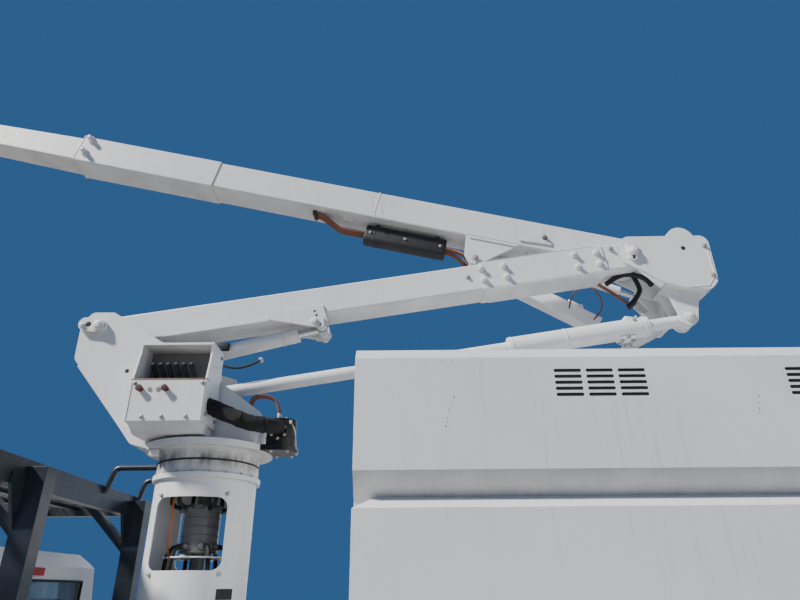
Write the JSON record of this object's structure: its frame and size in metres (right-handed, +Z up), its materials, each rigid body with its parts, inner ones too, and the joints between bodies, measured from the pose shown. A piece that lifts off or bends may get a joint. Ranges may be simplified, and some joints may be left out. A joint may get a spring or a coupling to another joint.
{
  "type": "cherry picker truck",
  "caption": "white bucket truck with an articulated boom on a pedestal behind the cab, a cab guard and an enclosed chip body",
  "frame": {"origin": "on the ground, under the axis of the boom's pedestal, on the truck's middle plane", "axes": "+X to the truck's front, +Y to its left, +Z up"},
  "size_m": [9.2999, 2.7, 6.393],
  "materials": {
    "white_paint": "satin",
    "boom_fibreglass": "satin",
    "chassis_black": "satin",
    "cast_grey": "matte",
    "bare_metal": "satin",
    "chromed_rod": "polished",
    "rubber_black": "matte",
    "rim_steel": "satin",
    "clear_glass": "polished",
    "dark_plastic": "matte",
    "hose_rubber": "matte",
    "lamp_red": "polished"
  },
  "bodies": {
    "chassis": {"frame": "chassis_black", "axles": "chassis_black", "engine_block": "cast_grey", "drive_shaft": "chassis_black", "fuel_tank": "bare_metal", "silencer": "cast_grey", "cab_shell": "white_paint", "cab_glass": "clear_glass", "cab_interior": "dark_plastic", "front_fenders": "white_paint", "grille": "chromed_rod", "lamps": "lamp_red", "front_bumper": "chassis_black", "cab_guard": "white_paint", "pedestal": "white_paint", "manifold": "cast_grey", "slew_ring": "cast_grey", "cabinets": "white_paint", "chip_body": "white_paint", "rear_bumper": "chassis_black"},
    "hood": {"hood": "white_paint"},
    "door_left": {"door_left": "white_paint", "door_glass_left": "clear_glass"},
    "door_right": {"door_right": "white_paint", "door_glass_right": "clear_glass"},
    "tailgate_left": {"tailgate_left": "white_paint"},
    "tailgate_right": {"tailgate_right": "white_paint"},
    "cabinet_door_left": {"cabinet_door_left": "white_paint"},
    "cabinet_door_right": {"cabinet_door_right": "white_paint"},
    "knuckle_left": {"knuckle_left": "chassis_black"},
    "knuckle_right": {"knuckle_right": "chassis_black"},
    "tie_rod": {"tie_rod": "chassis_black"},
    "steering_wheel": {"steering_wheel": "dark_plastic"},
    "front_wheel_left": {"front_tyre_left": "rubber_black", "front_rim_left": "rim_steel"},
    "front_wheel_right": {"front_tyre_right": "rubber_black", "front_rim_right": "rim_steel"},
    "rear_wheels_left": {"rear_tyres_left": "rubber_black", "rear_rims_left": "rim_steel"},
    "rear_wheels_right": {"rear_tyres_right": "rubber_black", "rear_rims_right": "rim_steel"},
    "turret": {"turret": "white_paint", "control_box": "white_paint", "levers": "dark_plastic", "slew_drive": "cast_grey", "turret_hoses": "hose_rubber"},
    "lower_boom": {"lower_boom": "white_paint"},
    "elbow": {"elbow": "white_paint"},
    "levelling_link": {"levelling_link": "white_paint"},
    "lift_barrel": {"lift_ram_barrel": "white_paint"},
    "lift_rod": {"lift_ram_rod": "chromed_rod"},
    "upper_boom": {"upper_boom": "white_paint", "boom_tip": "boom_fibreglass", "boom_hoses": "hose_rubber"},
    "upper_barrel": {"upper_ram_barrel": "white_paint"},
    "upper_rod": {"upper_ram_rod": "chromed_rod"},
    "level_barrel": {"level_ram_barrel": "white_paint"},
    "level_rod": {"level_ram_rod": "chromed_rod"},
    "platform_bracket": {"platform_bracket": "white_paint"},
    "bucket": {"bucket": "boom_fibreglass"}
  },
  "joints": [
    {"name": "turret_slew", "type": "hinge", "parent": "chassis", "child": "turret", "pos_m": [0, 0, 2.528], "axis": [0, 0, 1], "continuous": true},
    {"name": "lower_boom_lift", "type": "hinge", "parent": "turret", "child": "lower_boom", "pos_m": [0.84, 0, 3.44], "axis": [0, 1, 0], "range_deg": [-7, 73]},
    {"name": "elbow_level", "type": "hinge", "parent": "lower_boom", "child": "elbow", "pos_m": [-2.96365, 0, 4.03564], "axis": [0, 1, 0], "range_deg": [-73, 7]},
    {"name": "link_swing", "type": "hinge", "parent": "turret", "child": "levelling_link", "pos_m": [0.49, 0, 2.95], "axis": [0, 1, 0], "range_deg": [-7, 73]},
    {"name": "lift_barrel_swing", "type": "hinge", "parent": "turret", "child": "lift_barrel", "pos_m": [0.6, 0, 3.175], "axis": [0, 1, 0], "range_deg": [-6.89, 71.91]},
    {"name": "lift_rod_slide", "type": "slide", "parent": "lift_barrel", "child": "lift_rod", "axis": [-0.9699, 0, 0.2436], "range_m": [-0.04026, 0.41982]},
    {"name": "upper_boom_raise", "type": "hinge", "parent": "elbow", "child": "upper_boom", "pos_m": [-3.35, -0.295, 4.148], "axis": [0, -1, 0], "range_deg": [-13.4, 66.6]},
    {"name": "upper_barrel_swing", "type": "hinge", "parent": "upper_boom", "child": "upper_barrel", "pos_m": [-1.85031, -0.295, 4.17015], "axis": [0, -1, 0], "range_deg": [-12.15, 2.44]},
    {"name": "upper_rod_slide", "type": "slide", "parent": "upper_barrel", "child": "upper_rod", "axis": [-0.8626, 0, -0.5059], "range_m": [-0.15055, 0.74823]},
    {"name": "level_barrel_swing", "type": "hinge", "parent": "upper_boom", "child": "level_barrel", "pos_m": [-2.33667, -0.295, 4.20951], "axis": [0, -1, 0], "range_deg": [-3.26, 0.66]},
    {"name": "level_rod_slide", "type": "slide", "parent": "level_barrel", "child": "level_rod", "axis": [-0.9202, 0, -0.3915], "range_m": [-0.07662, 0.3808]},
    {"name": "platform_level", "type": "hinge", "parent": "upper_boom", "child": "platform_bracket", "pos_m": [3.76488, -0.295, 5.843], "axis": [0, -1, 0], "range_deg": [-66.6, 13.4]},
    {"name": "bucket_rotate", "type": "hinge", "parent": "platform_bracket", "child": "bucket", "pos_m": [3.91488, -0.295, 5.773], "axis": [0, 0, 1], "range_deg": [-90, 90]},
    {"name": "hood_open", "type": "hinge", "parent": "chassis", "child": "hood", "pos_m": [2.412, 0, 1.492], "axis": [0, -1, 0], "range_deg": [0, 50]},
    {"name": "door_left_open", "type": "hinge", "parent": "chassis", "child": "door_left", "pos_m": [2.292, 1.011, 1.2], "axis": [0, 0, -1], "range_deg": [0, 65]},
    {"name": "door_right_open", "type": "hinge", "parent": "chassis", "child": "door_right", "pos_m": [2.292, -1.011, 1.2], "axis": [0, 0, 1], "range_deg": [0, 65]},
    {"name": "tailgate_left_open", "type": "hinge", "parent": "chassis", "child": "tailgate_left", "pos_m": [-4.446, 1.216, 2], "axis": [0, 0, -1], "range_deg": [0, 180]},
    {"name": "tailgate_right_open", "type": "hinge", "parent": "chassis", "child": "tailgate_right", "pos_m": [-4.446, -1.216, 2], "axis": [0, 0, 1], "range_deg": [0, 180]},
    {"name": "cabinet_left_open", "type": "hinge", "parent": "chassis", "child": "cabinet_door_left", "pos_m": [0.095, 1.216, 1.1], "axis": [0, 0, -1], "range_deg": [0, 110]},
    {"name": "cabinet_right_open", "type": "hinge", "parent": "chassis", "child": "cabinet_door_right", "pos_m": [0.095, -1.216, 1.1], "axis": [0, 0, 1], "range_deg": [0, 110]},
    {"name": "steer_left", "type": "hinge", "parent": "chassis", "child": "knuckle_left", "pos_m": [3.03, 0.85, 0.43], "axis": [0, 0, 1], "range_deg": [-35, 35]},
    {"name": "steer_right", "type": "hinge", "parent": "chassis", "child": "knuckle_right", "pos_m": [3.03, -0.85, 0.43], "axis": [0, 0, 1], "range_deg": [-35, 35]},
    {"name": "tie_rod_slide", "type": "slide", "parent": "chassis", "child": "tie_rod", "axis": [0, 1, 0], "range_m": [-0.10074, 0.10074]},
    {"name": "steering_wheel_turn", "type": "hinge", "parent": "chassis", "child": "steering_wheel", "pos_m": [1.885, 0.46, 1.39], "axis": [-0.8192, 0, 0.5736], "range_deg": [-560, 560]},
    {"name": "front_wheel_left_spin", "type": "hinge", "parent": "knuckle_left", "child": "front_wheel_left", "pos_m": [3.03, 0.95, 0.43], "axis": [0, 1, 0], "continuous": true},
    {"name": "rear_wheels_left_spin", "type": "hinge", "parent": "chassis", "child": "rear_wheels_left", "pos_m": [-2.05, 0.93, 0.43], "axis": [0, 1, 0], "continuous": true},
    {"name": "front_wheel_right_spin", "type": "hinge", "parent": "knuckle_right", "child": "front_wheel_right", "pos_m": [3.03, -0.95, 0.43], "axis": [0, 1, 0], "continuous": true},
    {"name": "rear_wheels_right_spin", "type": "hinge", "parent": "chassis", "child": "rear_wheels_right", "pos_m": [-2.05, -0.93, 0.43], "axis": [0, 1, 0], "continuous": true}
  ],
  "couplings": [
    {"joint": "elbow_level", "follows": "lower_boom_lift", "ratio": -1},
    {"joint": "link_swing", "follows": "lower_boom_lift", "ratio": 1},
    {"joint": "lift_barrel_swing", "follows": "lower_boom_lift", "ratio": 0.985},
    {"joint": "lift_rod_slide", "follows": "lower_boom_lift", "m_per_rad": 0.3295},
    {"joint": "upper_barrel_swing", "follows": "upper_boom_raise", "ratio": -0.1824},
    {"joint": "upper_rod_slide", "follows": "upper_boom_raise", "m_per_rad": 0.6437},
    {"joint": "level_barrel_swing", "follows": "upper_boom_raise", "ratio": -0.049},
    {"joint": "level_rod_slide", "follows": "upper_boom_raise", "m_per_rad": 0.3276},
    {"joint": "platform_level", "follows": "upper_boom_raise", "ratio": -1},
    {"joint": "steer_right", "follows": "steer_left", "ratio": 1},
    {"joint": "tie_rod_slide", "follows": "steer_left", "m_per_rad": -0.1649},
    {"joint": "steering_wheel_turn", "follows": "steer_left", "ratio": 16}
  ]
}
